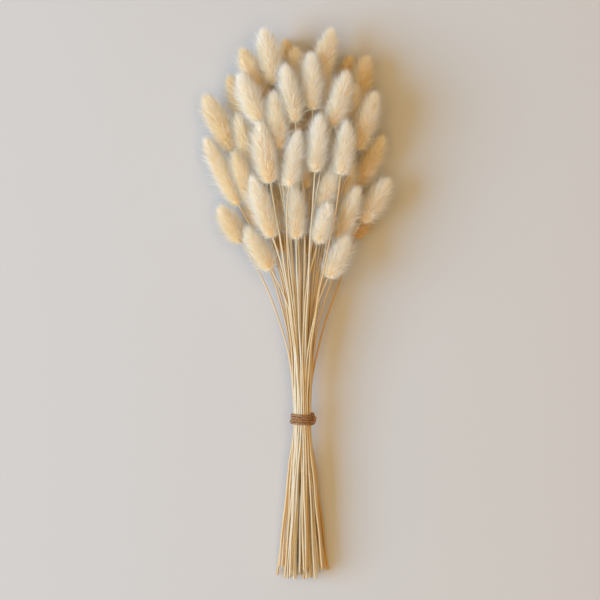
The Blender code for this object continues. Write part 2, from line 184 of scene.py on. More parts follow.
class Middle:
    """The middle line of one stalk, from the cut end to the tip of the head."""

    def __init__(self, node):
        corners = np.array([vertex.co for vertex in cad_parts[node].data.vertices])
        corners = corners[np.argsort(corners[:, 1])]
        cuts = np.flatnonzero(np.diff(corners[:, 1]) > RING_GAP) + 1
        rings = np.split(corners, cuts)
        low = np.array([ring.min(axis=0) for ring in rings])
        high = np.array([ring.max(axis=0) for ring in rings])
        self.stem = ((low + high) / 2)[:-HEAD_RINGS]
        self.stem_radius = ((high - low) / 2)[:-HEAD_RINGS, 0]
        self.neck = self.stem[-1]
        self.tip = high[-1]
        self.axis = self.tip - self.neck
        self.length = np.linalg.norm(self.axis) / FIRM_LENGTH
        self.axis = self.axis / np.linalg.norm(self.axis)
        lean = math.hypot(1.0, self.axis[0] / self.axis[1])
        half = (high - low)[WIDEST_RING, 0] / 2
        self.radius = half / math.cos(math.pi / HEAD_SIDES) / lean / FIRM

    def place(self, along):
        """Points of the stem at distances along Y, on a smooth curve through the middles of its rings."""
        knots = self.stem[:, 1]
        slopes = np.gradient(self.stem, knots, axis=0)
        slopes[-1] = self.axis / self.axis[1]
        run = np.clip(np.searchsorted(knots, along) - 1, 0, len(knots) - 2)
        span = (knots[run + 1] - knots[run])[:, None]
        share = (along - knots[run])[:, None] / span
        square, cube = share ** 2, share ** 3
        return (
            (2 * cube - 3 * square + 1) * self.stem[run]
            + (cube - 2 * square + share) * span * slopes[run]
            + (3 * square - 2 * cube) * self.stem[run + 1]
            + (cube - square) * span * slopes[run + 1]
        )


# --- Meshes -------------------------------------------------------------------------------------------------


def unit(vectors):
    return vectors / np.linalg.norm(vectors, axis=-1, keepdims=True)


def add_piece(name, data, nodes, materials):
    """Put a finished mesh into the scene, where it stands for nodes of the solid model."""
    for finish in materials:
        data.materials.append(finish)
    piece = bpy.data.objects.new(name, data)
    bpy.context.scene.collection.objects.link(piece)
    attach(piece, BODY)
    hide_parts(*nodes)


def arrays_of(mesh):
    """Corners, triangles, texture places and normals of a bmesh, which is then freed."""
    bmesh.ops.triangulate(mesh, faces=mesh.faces)
    mesh.verts.index_update()
    mesh.normal_update()
    layer = mesh.loops.layers.uv.verify()
    corners = np.array([vertex.co for vertex in mesh.verts])
    faces = np.array([[vertex.index for vertex in face.verts] for face in mesh.faces])
    places = np.array([[loop[layer].uv for loop in face.loops] for face in mesh.faces])
    normals = np.array([[vertex.normal for vertex in face.verts] for face in mesh.faces])
    mesh.free()
    return corners, faces, places, normals


def mesh_from(name, parts):
    """One mesh from parts, each with its corners, triangles, texture places and normals."""
    corners = np.concatenate([part[0] for part in parts])
    starts = np.cumsum([0] + [len(part[0]) for part in parts[:-1]])
    faces = np.concatenate([part[1] + start for part, start in zip(parts, starts)])
    places = np.concatenate([part[2] for part in parts])
    data = bpy.data.meshes.new(name)
    data.vertices.add(len(corners))
    data.vertices.foreach_set("co", corners.astype(np.float32).ravel())
    data.loops.add(faces.size)
    data.loops.foreach_set("vertex_index", faces.astype(np.int32).ravel())
    data.polygons.add(len(faces))
    data.polygons.foreach_set("loop_start", np.arange(0, faces.size, 3, dtype=np.int32))
    layer = data.uv_layers.new(name=UV_LAYER)
    layer.uv.foreach_set("vector", places.astype(np.float32).ravel())
    data.update(calc_edges=True)
    data.validate()
    normals = np.concatenate([part[3] for part in parts]).reshape(-1, 3)
    data.normals_split_custom_set(normals.astype(np.float32))
    return data


def hair_master():
    """A flat three-sided spike one unit high, with its root at the origin and a broad side towards +Y.

    It has the fewest faces that a closed hair can have.
    """
    mesh = bmesh.new()
    bmesh.ops.create_cone(mesh, cap_ends=True, segments=3, radius1=1.0, radius2=0.0, depth=1.0)
    bmesh.ops.remove_doubles(mesh, verts=mesh.verts, dist=MERGE)
    bmesh.ops.translate(mesh, vec=(0.0, 0.0, 0.5), verts=mesh.verts)
    corner = max(mesh.verts, key=lambda vertex: vertex.co.xy.length).co
    turn = -math.pi / 2 - math.atan2(corner.y, corner.x)
    bmesh.ops.rotate(mesh, verts=mesh.verts, cent=(0, 0, 0), matrix=Matrix.Rotation(turn, 3, "Z"))
    bmesh.ops.scale(mesh, verts=mesh.verts, vec=(1.0, HAIR_DEPTH, 1.0))
    bmesh.ops.recalc_face_normals(mesh, faces=mesh.faces)
    corners, faces, _, _ = arrays_of(mesh)
    return corners, faces


def planted(master, roots, tips, widths, tones, outward, softness, starts=0.0):
    """Copies of a hair, each from its root to its tip, with its broad side outwards.

    Across the texture is a hair's tone, and up it is its length, which may start further up. Softness turns
    the shading of the broad side outwards, as on one soft surface.
    """
    shape, faces = master
    count = len(roots)
    reach = tips - roots
    across = unit(np.cross(outward, reach))
    over = unit(np.cross(reach, across))
    wide = np.asarray(widths).reshape(-1, 1, 1)
    corners = (
        roots[:, None]
        + across[:, None] * shape[None, :, 0:1] * wide
        + over[:, None] * shape[None, :, 1:2] * wide
        + reach[:, None] * shape[None, :, 2:3]
    )
    all_faces = faces[None] + np.arange(count)[:, None, None] * len(shape)
    local = shape[faces]
    up_texture = np.where(local[..., 2] > 0.5, 1.0, HAIR_ROOT + HAIR_ROOT * local[..., 1])
    places = np.stack([HAIR_ACROSS * local[..., 0], up_texture], axis=-1)
    places = np.broadcast_to(places, (count,) + places.shape).copy()
    places[..., 0] += np.asarray(tones).reshape(-1, 1, 1)
    places[..., 1] += np.reshape(starts, (-1, 1, 1)) * (1 - places[..., 1])
    first, second, third = (corners[:, faces[:, place]] for place in range(3))
    flat = unit(np.cross(second - first, third - first))
    broad = np.argmax(np.cross(local[:, 1] - local[:, 0], local[:, 2] - local[:, 0])[:, 1])
    normals = np.repeat(flat[:, :, None], 3, axis=2)
    normals[:, broad] = unit((1 - softness) * flat[:, broad, None] + softness * outward[:, None])
    return (
        corners.reshape(-1, 3), all_faces.reshape(-1, 3), places.reshape(-1, 3, 2), normals.reshape(-1, 3, 3)
    )


# --- Heads --------------------------------------------------------------------------------------------------

# Real hairs are about ten times finer, and far more. They are drawn this coarse so that they show, and so
# that the mesh stays small enough to handle.
HAIR_DEPTH = 0.6            # a hair's depth as a share of its width
HAIR_ACROSS = 0.006         # how much of the texture a hair's width takes
HAIR_ROOT = 0.02            # where on the texture a hair begins, and how far its root spreads there
THINNED = 0.6               # share of the hairs that a wholly hidden head goes without
LUMPS = ((0.025, 2, 60), (0.02, 3, -90))    # depth, waves round the head and turn of them along it
BASE_FLUFF, TIP_FLUFF = 0.35, 1.2           # depth of the fluff at the ends, as a share of that at the side
TIP_TURN = 1.52             # how far round the tip the last hairs reach, in radians
LAST_FLOW = 1.1             # the flow, as a share of the usual one, at which they do
LEAST_ROUND = 2.5 * MM      # nearer to the axis than this, hairs don't drift further round
JITTER_TURN, JITTER_ARC = 0.12, 0.35 * MM   # how unevenly hairs are rooted
WILD_LIFT, WILD_TAIL, MOST_LIFT = 0.85, 0.65, 2.5   # least, mean excess and most lift of a wild hair
CALM_LIFT = (0.45, 0.95)    # lift of the other hairs. At 1, a hair's tip lies on the outline
TIP_CALM, TIP_CALM_LIFT, TIP_CALM_FROM = 0.65, 0.8, 0.7     # towards the tip, lifts come nearer to this one
BASE_LIFT, BASE_REACH = 1.15, 5 * MM        # hairs at the base stand out at least by this, and how far up
FLOWS = (0.75, 1.2)         # flow of a hair, as a share of the usual one
WILD_FLOW = 0.6             # wild hairs flow further, the more they stand out
BASE_FLOW = 0.15            # share of the flow that is there at the very base
DRIFT, TUFT_DRIFT = 0.5 * MM, 0.4 * MM      # how far tips stray round the head
TUFT_HAIRS = 6              # hairs in a tuft
TUFT_TURN, TUFT_LIFT = 0.2, (0.7, 1.05)
WILD_CLUMP = 0.25           # how much of the clumping reaches wild hairs
TUFT_SHADE, HAIR_SHADE, WILD_SHADE = 0.08, 0.08, 0.15       # how shades differ between tufts and hairs
WIDTHS, WILD_WIDTH, CALM_WIDTH = (0.75, 1.25), 0.7, 1.1
ROLL = 1.2                  # how far wild hairs turn out of the surface
SHADES = (0.03, 0.97)       # the part of the texture that hairs use
SUNK, SUNK_REACH = 0.7, 2.5 * MM            # hairs at the base start further along their colours
AWN_PLACES, AWN_FLOWS, AWN_LIFTS = (0.02, 0.98), (1.2, 2.0), (1.1, 1.8)
AWN_RADIUS, AWN_SOFTNESS = 0.07 * MM, 0.5
CORE_SIDES = 12
CORE_SHADE, CORE_SLOPES = 0.1, (0.4, 2.0)   # where the core lies on the texture, and how that changes over it
FLAT_BELOW, FLATTENED = 0.25 * MM, 0.02     # hairs lie flat on the floor from here down

# Shades of the heads, from 0 for golden to 1 for white. Heads higher in the bunch are painted paler, as
# painted light, and heads hidden under others more golden, as painted shade. The last number is the heads'
# own random difference.
LOW_SHADE, TOP_PAINTED_LIGHT, HIDDEN_PAINTED_SHADE, HEAD_SHADE = 0.34, 0.44, 0.3, 0.08
BLEACHED_GLOW, PAINTED_SHADE_GLOW = 0.14, 0.35     # how much light seeps through the fluff. The hidden heads' copy glows more: painted light in their shade
PAINTED_SHADE_FROM = 0.9                           # a head that is hidden more than this gets the golden copy that glows more, as painted shade
COVER_STEPS = 18                            # places along a head where it is looked at whether it is hidden


def fullness(share):
    """Width of a head as a share of its widest, at a share of its length."""
    from_widest = 2.0 * share ** LOW_WIDEST - 1.0
    return np.maximum(1.0 - np.abs(from_widest) ** SQUARENESS, 0.0) ** ROUND_ENDS


class Outline:
    """The side view of a head, as a curve from its base to its tip."""

    def __init__(self, length, radius):
        share = 0.5 - 0.5 * np.cos(np.linspace(0, math.pi, OUTLINE_STEPS))
        self.along = share * length
        self.out = fullness(share) * radius
        steps = np.hypot(np.diff(self.along), np.diff(self.out))
        self.arc = np.concatenate([[0.0], np.cumsum(steps)])
        belts = steps * (self.out[1:] + self.out[:-1]) / 2
        self.area = np.concatenate([[0.0], np.cumsum(belts)])
        self.area /= self.area[-1]
        self.facing = np.arctan2(np.gradient(self.along), -np.gradient(self.out))

    def at(self, arc):
        return np.interp(arc, self.arc, self.along), np.interp(arc, self.arc, self.out)

    def normal(self, arc):
        """Parts of the outward normal along the axis and away from it."""
        facing = np.interp(arc, self.arc, self.facing)
        return np.cos(facing), np.sin(facing)


def cover(middle, others):
    """The share of a head's length that lies under other heads, seen from above."""
    share = np.linspace(0.1, 0.95, COVER_STEPS)[:, None]
    points = middle.neck + middle.axis * middle.length * share
    covered = np.zeros(len(points), bool)
    for other in others:
        along = ((points - other.neck) @ other.axis / other.length).clip(0.05, 0.95)
        nearest = other.neck + other.axis * (along * other.length)[:, None]
        apart = np.hypot(*(points - nearest)[:, :2].T)
        covered |= (nearest[:, 2] > points[:, 2]) & (apart < other.radius * fullness(along))
    return covered.mean()


def core_mesh(outline, base, tip, shrink, tone):
    """The firm core: the outline, drawn in and spun round the axis. Its colours are those of hairs' roots."""
    mesh = bmesh.new()
    along, out = outline.at(np.linspace(0, outline.arc[-1], CORE_SIDES))
    along = base + along * (outline.along[-1] - base - tip) / outline.along[-1]
    points = [Vector((width * shrink, 0.0, height)) for height, width in zip(along, out)]
    verts = [mesh.verts.new(point) for point in points]
    edges = [mesh.edges.new(pair) for pair in zip(verts, verts[1:])]
    bmesh.ops.spin(
        mesh, geom=verts + edges, axis=(0, 0, 1), cent=(0, 0, 0), angle=math.tau, steps=CORE_SIDES,
        use_merge=True
    )
    bmesh.ops.remove_doubles(mesh, verts=mesh.verts, dist=MERGE)
    bmesh.ops.recalc_face_normals(mesh, faces=mesh.faces)
    layer = mesh.loops.layers.uv.verify()
    for face in mesh.faces:
        for loop in face.loops:
            place = loop.vert.co
            loop[layer].uv = (tone + CORE_SLOPES[0] * place.x, CORE_SHADE + CORE_SLOPES[1] * place.y)
    return mesh


class HeadShape:
    """One head in its place: a slightly lumpy outline round its axis, and the firm core inside it."""

    def __init__(self, middle, settings, chance):
        self.middle = middle
        self.fluff = settings.fluff
        self.flow = settings.flow
        self.outline = Outline(middle.length, middle.radius)
        self.reach = self.outline.arc[-1]
        self.shrink = (middle.radius - self.fluff) / middle.radius
        self.base, self.tip = BASE_FLUFF * self.fluff, TIP_FLUFF * self.fluff
        self.squeeze = (middle.length - self.base - self.tip) / middle.length
        self.across = unit(np.cross(middle.axis, UP))
        self.over = np.cross(middle.axis, self.across)
        self.lump = chance.uniform(0, math.tau, 4)
        upper = slice(OUTLINE_STEPS // 2, None)
        self.dome = np.interp(-settings.tip_width, -self.outline.out[upper], self.outline.arc[upper])
        self.dome_along, self.dome_out = self.outline.at(self.dome)

    def spoke(self, turn):
        return self.across * np.cos(turn)[:, None] + self.over * np.sin(turn)[:, None]

    def in_space(self, along, out, turn):
        swell = 1
        for (depth, waves, winding), start in zip(LUMPS, self.lump):
            swell = swell + depth * np.sin(waves * turn + start + winding * along)
        sideways = self.spoke(turn) * (out * swell)[:, None]
        return self.middle.neck + self.middle.axis * along[:, None] + sideways

    def outwards(self, arc, turn):
        facing_along, facing_out = self.outline.normal(arc)
        return self.middle.axis * facing_along[:, None] + self.spoke(turn) * facing_out[:, None]

    def hairs(self, arc, turn, flow, drift, lift):
        """Roots and tips of hairs, and the way out at the tips, which lie further along and further out."""
        root_along, root_out = self.outline.at(arc)
        root_along = self.base + root_along * self.squeeze
        root_out = root_out * self.shrink
        to = arc + flow * (BASE_FLOW + (1 - BASE_FLOW) * (arc / (2 * self.flow)).clip(0, 1))
        tip_along, tip_out = self.outline.at(np.minimum(to, self.dome))
        past = ((to - self.dome) / (self.reach + LAST_FLOW * self.flow - self.dome)).clip(0, 1) * TIP_TURN
        dome_high = self.middle.length - self.dome_along
        tip_along = np.where(past > 0, self.dome_along + dome_high * np.sin(past), tip_along)
        tip_out = np.where(past > 0, self.dome_out * np.cos(past), tip_out)
        tip_turn = turn + drift / np.maximum(tip_out, LEAST_ROUND)
        facing = self.outwards(np.minimum(to, self.reach), tip_turn)
        roots = self.in_space(root_along, root_out, turn)
        tips = self.in_space(tip_along, tip_out, tip_turn)
        tips = tips + facing * ((lift - 1) * self.fluff)[:, None]
        return roots, tips, facing

    def spread(self, count, turn_jitter, chance):
        """Places along the outline and round the head, evenly spread over its surface."""
        arc = np.interp((np.arange(count) + 0.5) / count, self.outline.area, self.outline.arc)
        return arc, np.arange(count) * GOLDEN_ANGLE + chance.normal(0, turn_jitter, count)

    def core(self, tone):
        core = core_mesh(self.outline, self.base, self.tip, self.shrink, tone)
        corners, faces, places, normals = arrays_of(core)
        spokes = np.stack([self.across, self.over, self.middle.axis])
        return self.middle.neck + corners @ spokes, faces, places, normals @ spokes


def lifts(wild, arc, reach, chance):
    """How far out the tips of hairs lie: a dense short layer, and wild hairs that thin away from it."""
    count = len(wild)
    lift = np.where(
        wild, (WILD_LIFT + chance.exponential(WILD_TAIL, count)).clip(0.0, MOST_LIFT),
        chance.uniform(*CALM_LIFT, count)
    )
    near_tip = ((arc / reach - TIP_CALM_FROM) / (1 - TIP_CALM_FROM)).clip(0, 1)
    lift -= TIP_CALM * (lift - TIP_CALM_LIFT) * near_tip
    lift += (BASE_LIFT - lift).clip(0, 1) * np.exp(-arc / BASE_REACH)
    return lift


def fluff_part(shape, settings, master, hidden, head_tone, chance):
    """The soft hairs of a head, which lean together into tufts. A hidden head has fewer and wider ones."""
    count = round(settings.hairs * (1 - THINNED * hidden))
    arc, turn = shape.spread(count, JITTER_TURN, chance)
    arc = np.clip(arc + chance.normal(0, JITTER_ARC, count), 0, shape.reach)
    wild = chance.random(count) < settings.wild
    lift = lifts(wild, arc, shape.reach, chance)
    flow = settings.flow * chance.uniform(*FLOWS, count)
    flow = flow * np.where(wild, WILD_FLOW + WILD_FLOW * lift, 1.0)
    roots, tips, facing = shape.hairs(arc, turn, flow, chance.normal(0, DRIFT, count), lift)

    tufts = max(count // TUFT_HAIRS, 1)
    tuft_arc, tuft_turn = shape.spread(tufts, TUFT_TURN, chance)
    tuft_lift = chance.uniform(*TUFT_LIFT, tufts)
    tuft_flow = np.full(tufts, settings.flow)
    tuft_drift = chance.normal(0, TUFT_DRIFT, tufts)
    tuft_roots, tuft_tips, _ = shape.hairs(tuft_arc, tuft_turn, tuft_flow, tuft_drift, tuft_lift)
    nearest = ((roots[:, None] - tuft_roots[None]) ** 2).sum(axis=2).argmin(axis=1)
    lean = np.where(wild, WILD_CLUMP * settings.clump, settings.clump)[:, None]
    tips += lean * (tuft_tips[nearest] - tips)

    tuft_tone = chance.normal(0, TUFT_SHADE, tufts)
    tones = head_tone + np.where(wild, WILD_SHADE, -WILD_SHADE) + tuft_tone[nearest]
    tones = (tones + chance.normal(0, HAIR_SHADE, count)).clip(*SHADES)
    widths = settings.hair_width * math.sqrt(settings.hairs / count) * chance.uniform(*WIDTHS, count)
    widths = widths * np.where(wild, WILD_WIDTH, CALM_WIDTH)
    rolled = unit(facing + wild[:, None] * chance.normal(0, ROLL, (count, 3)))
    starts = SUNK * np.exp(-arc / SUNK_REACH)
    return planted(master, roots, tips, widths, tones, rolled, settings.softness, starts)


def awn_part(shape, settings, master, head_tone, chance):
    """The stiffer bristles, a few of which stand out all over a head."""
    awns = settings.awns
    arc = np.interp(chance.uniform(*AWN_PLACES, awns), shape.outline.area, shape.outline.arc)
    turn = chance.uniform(0, math.tau, awns)
    flow = chance.uniform(*AWN_FLOWS, awns) * settings.flow
    drift = chance.normal(0, DRIFT, awns)
    roots, tips, facing = shape.hairs(arc, turn, flow, drift, chance.uniform(*AWN_LIFTS, awns))
    return planted(
        master, roots, tips, np.full(awns, AWN_RADIUS), np.full(awns, head_tone), facing, AWN_SOFTNESS
    )


def head_parts(middle, settings, master, hidden, head_tone, chance):
    """The core, fluff and awns of one head, pressed flat where they meet the floor."""
    shape = HeadShape(middle, settings, chance)
    fluff = fluff_part(shape, settings, master, hidden, head_tone, chance)
    parts = [shape.core(head_tone), fluff, awn_part(shape, settings, master, head_tone, chance)]
    for corners, _, _, _ in parts:
        low = corners[:, 2] < FLAT_BELOW
        corners[low, 2] = FLAT_BELOW + FLATTENED * (corners[low, 2] - FLAT_BELOW)
    return parts


class BUNCH_OT_heads(bpy.types.Operator):
    """Cover each head's core in soft hairs that flow towards its tip. Hidden heads are golden, as painted
    shade, and those on top paler, as painted light
    """

    bl_idname = "bunch.heads"
    bl_label = "Fluffy Heads"

    def execute(self, context):
        settings = context.scene.bunch_heads
        bleached = fluff_material(settings, "bleached_grass_hair", BLEACHED_GLOW)
        # The copy of the hair for hidden heads, with more glow: painted shade.
        golden = fluff_material(settings, "grass_hair_painted_shade", PAINTED_SHADE_GLOW)
        master = hair_master()
        middles = [Middle(node) for node in STALKS]
        for number, (node, middle) in enumerate(zip(STALKS, middles), start=1):
            chance = np.random.default_rng(HEAD_SEED + number)
            hidden = cover(middle, [other for other in middles if other is not middle])
            height = (middle.neck[2] + middle.tip[2]) / 2 / (CAD_HIGH[2] - middle.radius)
            # Painted light and shade: heads higher in the bunch are paler, hidden ones more golden. The
            # random part is the heads' own.
            head_tone = LOW_SHADE + TOP_PAINTED_LIGHT * height - HIDDEN_PAINTED_SHADE * hidden
            head_tone += chance.uniform(-HEAD_SHADE, HEAD_SHADE)
            parts = head_parts(middle, settings, master, hidden, head_tone, chance)
            name = node.replace("stalk", "head")
            data = mesh_from(name, parts)
            # Hidden heads get the copy that glows more, as painted shade.
            finish = golden if hidden > PAINTED_SHADE_FROM else bleached
            add_piece(name, data, [node], [finish])
        return {"FINISHED"}


# --- Stems --------------------------------------------------------------------------------------------------

# Lengths here are in millimetres.
JOINT_PLACE = (0.25, 0.7)   # where the joint is, as a share of the stem
SHEATH_LENGTH = (25, 50)
SHEATH_DEPTH = 0.09
JOINT_RINGS = (-1.2, -0.5, 0.4, 1.0)        # rings round the joint and at the end of the sheath
SHEATH_RINGS = (-0.2, 0.3)
JOINT_HALF, JOINT_SWELL = 0.7, 1.22         # half its length, and its width as a share of the stem's
NECK_CLEAR = 5              # no such rings nearer to the head than this
WAVE_LENGTHS = (38, 70)
WAVE_ACROSS, WAVE_UP = 0.22, 0.16           # depths of the waves
STILL_NECK, STILL_TIE = 20, 25              # they fade within this of the neck and of the tie
STRAW_OVER = 0.06           # the straw is thicker than its solid by this
INTO_HEAD, HEAD_END = 3, 0.9                # how far a stem runs on into its head, and how far it narrows
OVER_FLOOR = 0.05
SLANT = 0.5                 # most slope of a cut end
WALL = 0.32                 # the straw's wall, as a share of its radius
HOLLOW = 2.5                # depth of the hollow in the cut end
SHARP = math.radians(45)
STEM_PAINTED_LIGHT_AND_SHADE = 0.1              # how much paler the streaks are painted on stems on top, as painted light, and more golden on low ones, as painted shade


def add_ring(mesh, points):
    """A ring of corners at these points."""
    made = bmesh.ops.create_circle(mesh, segments=len(points), radius=1.0)["verts"]
    for vertex, point in zip(made, points):
        vertex.co = point
    return made


def tube(places, radii, sides, ups, along):
    """A round tube along a run of places. Its texture runs once round it, and up its length in metres."""
    mesh = bmesh.new()
    ways = unit(np.gradient(places, axis=0))
    turns = np.arange(sides) * math.tau / sides
    rows = []
    for place, way, radius, up in zip(places, ways, radii, ups):
        side = unit(np.cross(way, up))
        over = np.cross(side, way)
        points = place + radius * (np.cos(turns)[:, None] * side + np.sin(turns)[:, None] * over)
        rows.append(add_ring(mesh, points))
    marks = {}
    for row, reached in zip(rows, along):
        for number, vertex in enumerate(row):
            marks[vertex] = number, reached
    loops = [list(dict.fromkeys(edge for vertex in row for edge in vertex.link_edges)) for row in rows]
    for near, far in zip(loops, loops[1:]):
        bmesh.ops.bridge_loops(mesh, edges=near + far)
    layer = mesh.loops.layers.uv.verify()
    for face in mesh.faces:
        found = [marks[loop.vert] for loop in face.loops]
        wraps = max(number for number, _ in found) - min(number for number, _ in found) > 1
        for loop, (number, reached) in zip(face.loops, found):
            loop[layer].uv = ((sides if wraps and number == 0 else number) / sides, reached)
    ends = [bmesh.ops.contextual_create(mesh, geom=edges)["faces"][0] for edges in (loops[0], loops[-1])]
    bmesh.ops.recalc_face_normals(mesh, faces=mesh.faces)
    return mesh, ends


def stem_line(middle, joint, settings, chance):
    """Distances along Y, places and radii of a stem's rings: tapered, slightly wavy, thicker at its joint."""
    start, end = middle.stem[0, 1], middle.neck[1]
    along = np.linspace(start, end, round((end - start) / settings.step))
    top = joint + chance.uniform(*SHEATH_LENGTH) * MM
    extra = np.concatenate([joint + np.array(JOINT_RINGS) * MM, top + np.array(SHEATH_RINGS) * MM])
    along = np.sort(np.concatenate([along, extra[extra < end - NECK_CLEAR * MM]]))
    places = middle.place(along)
    wave = chance.uniform(0, math.tau, 4)
    length = chance.uniform(*WAVE_LENGTHS, 2) * MM
    fade = np.clip((end - along) / (STILL_NECK * MM), 0, 1)
    fade = fade * np.clip(np.abs(along - TIE_MIDDLE[1]) / (STILL_TIE * MM), 0, 1)
    places[:, 0] += WAVE_ACROSS * MM * fade * np.sin(math.tau * along / length[0] + wave[0])
    places[:, 2] += WAVE_UP * MM * fade * np.sin(math.tau * along / length[1] + wave[1])
    radii = np.interp(along, middle.stem[:, 1], middle.stem_radius) + STRAW_OVER * MM
    radii = np.where(np.abs(along - joint) < JOINT_HALF * MM, radii * JOINT_SWELL, radii)
    radii = np.where((along > joint) & (along < top), radii + SHEATH_DEPTH * MM, radii)
    places = np.vstack([places, places[-1] + middle.axis * INTO_HEAD * MM])
    radii = np.append(radii, radii[-1] * HEAD_END)
    along = np.append(along, along[-1] + INTO_HEAD * MM)
    places[:, 2] = np.maximum(places[:, 2], radii + OVER_FLOOR * MM)
    return along, places, radii


def hollow_out(mesh, cut, radius, slant):
    """Slant a cut end a little and sink a hollow into it."""
    centre = cut.calc_center_median()
    for vertex in cut.verts:
        off = vertex.co - centre
        vertex.co.y += slant[0] * off.x + slant[1] * off.z
    bmesh.ops.inset_region(mesh, faces=[cut], thickness=WALL * radius, use_even_offset=True)
    hollow = bmesh.ops.extrude_face_region(mesh, geom=[cut])
    inner = [item for item in hollow["geom"] if isinstance(item, bmesh.types.BMVert)]
    bmesh.ops.translate(mesh, vec=(0.0, HOLLOW * MM, 0.0), verts=inner)
    bmesh.ops.delete(mesh, geom=[cut], context="FACES_ONLY")
    bmesh.ops.recalc_face_normals(mesh, faces=mesh.faces)


def stem_mesh(node, middle, settings, chance):
    """One straw with a joint, a leaf sheath above it and a hollow cut end.

    Its length and the place of its joint come with it, as the material needs them.
    """
    start, end = middle.stem[0, 1], middle.neck[1]
    joint = start + chance.uniform(*JOINT_PLACE) * (end - start)
    along, places, radii = stem_line(middle, joint, settings, chance)
    ups = np.broadcast_to(UP, places.shape)
    mesh, ends = tube(places, radii, settings.sides, ups, along - start)
    hollow_out(mesh, ends[0], radii[0], chance.uniform(-SLANT, SLANT, 2))
    for face in mesh.faces:
        face.smooth = True
    data = bpy.data.meshes.new(node.replace("stalk", "stem"))
    mesh.to_mesh(data)
    mesh.free()
    data.set_sharp_from_angle(angle=SHARP)
    return data, end - start, joint - start


class BUNCH_OT_stems(bpy.types.Operator):
    """Make each stem a tapered straw that runs from its cut end into its head"""

    bl_idname = "bunch.stems"
    bl_label = "Straw Stems"

    def execute(self, context):
        settings = context.scene.bunch_stems
        for number, node in enumerate(STALKS, start=1):
            chance = np.random.default_rng(STEM_SEED + number)
            middle = Middle(node)
            data, length, joint = stem_mesh(node, middle, settings, chance)
            # Stems higher in the bunch are painted paler, as painted light, and low ones more golden, as
            # painted shade.
            height = (middle.place(TIE_MIDDLE[1:2])[0, 2] - TIE_MIDDLE[2]) / TIE_OUTER
            straw = straw_material(settings, number, length, joint, STEM_PAINTED_LIGHT_AND_SHADE * height)
            add_piece(data.name, data, [node], [straw])
        return {"FINISHED"}


# --- Twine --------------------------------------------------------------------------------------------------

# Numbers of the crossing are shares of a turn, of half the winding's length or of the twine's radius.
WIND_STEPS = 44             # rings in each turn
CROSS_DOWN, CROSS_BY, CROSS_CURVE = 1.55, 0.42, 1.1     # down over the turns, within this share of the turn
CROSS_BACK, BACK_FROM = 0.35, 0.5           # and back a little, from here on
RIDE_OVER, RIDE_BY, RIDE_CURVE = 1.15, 0.5, 0.6         # the crossing rides over the turns below it
STAY_OVER, STAY_FROM, STAY_IN = 0.9, 0.3, 0.3           # and stays on top
KNOT_SPAN = (0.12, 1.02)    # turns of the knot's loop from one tucked end to the other
KNOT_STEPS = 90
KNOT_DEPTH = 0.55
KNOT_SIZES = np.array([0.9, 0.95, 0.72]) * MM
KNOT_OFF = np.array([0.15, -0.2, 0.6]) * MM     # from the outside of the winding at the right
PLIES, PLY_SIDES = 3, 7
PLY_RADIUS = 0.5            # as a share of the twine's. The next ones are shares of the ply's
PLY_SWELL, PLY_END, PLY_OFF = 1.06, 0.6, 0.98
FIBRE_SPREAD, FIBRE_ROOT = 0.7, 0.75        # how far fibres stray sideways, and where they leave the twine
FIBRE_LEANS, FIBRE_OUT, FIBRE_LENGTHS = (0.6, 2.2), 0.6, (1.0, 2.6)     # lengths in millimetres
FIBRE_RADIUS, FIBRE_SOFTNESS, FIBRE_TONE = 0.05 * MM, 0.3, 0.5

TIE_LOW, TIE_HIGH = (np.array(corner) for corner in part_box(TIE))
TIE_OUTER = (TIE_HIGH[2] - TIE_LOW[2]) / 2
TIE_MIDDLE = np.array([
    TIE_LOW[0] + TIE_OUTER, (TIE_LOW[1] + TIE_HIGH[1]) / 2, (TIE_LOW[2] + TIE_HIGH[2]) / 2
])


def wound_path(settings):
    """The twine's own middle: turns side by side, then one turn back across them to the knot."""
    radius = TIE_OUTER - settings.radius
    turns = np.arange(settings.turns * WIND_STEPS + 1) / WIND_STEPS
    along = settings.pitch * (turns - settings.turns / 2)
    out = np.full(len(turns), radius)
    back = np.arange(1, WIND_STEPS + 1) / WIND_STEPS
    top = settings.pitch * settings.turns / 2
    cross = top - CROSS_DOWN * top * np.clip(back / CROSS_BY, 0, 1) ** CROSS_CURVE
    cross = cross + CROSS_BACK * top * np.clip((back - BACK_FROM) / (1 - BACK_FROM), 0, 1)
    over = RIDE_OVER * settings.radius * np.sin(np.clip(back / RIDE_BY, 0, 1) * math.pi) ** RIDE_CURVE
    over += STAY_OVER * settings.radius * np.clip((back - STAY_FROM) / STAY_IN, 0, 1)
    turns = np.concatenate([turns, settings.turns + back])
    along = np.concatenate([along, cross])
    out = np.concatenate([out, radius + over])
    angle = turns * math.tau
    spokes = np.stack([np.cos(angle), np.zeros(len(angle)), np.sin(angle)], axis=1)
    return TIE_MIDDLE + spokes * out[:, None] + np.stack([0 * along, along, 0 * along], axis=1), spokes


def knot_path():
    """A small overhand knot at the right of the winding, drawn tight, with both ends tucked underneath."""
    turn = np.linspace(KNOT_SPAN[0] * math.tau, KNOT_SPAN[1] * math.tau, KNOT_STEPS)
    loop = np.stack([
        KNOT_DEPTH * np.cos(3 * turn),
        np.sin(turn) + 2 * np.sin(2 * turn),
        np.cos(turn) - 2 * np.cos(2 * turn),
    ], axis=1)
    centre = TIE_MIDDLE + (np.array([TIE_OUTER, 0.0, 0.0]) + KNOT_OFF)
    return centre + loop * KNOT_SIZES


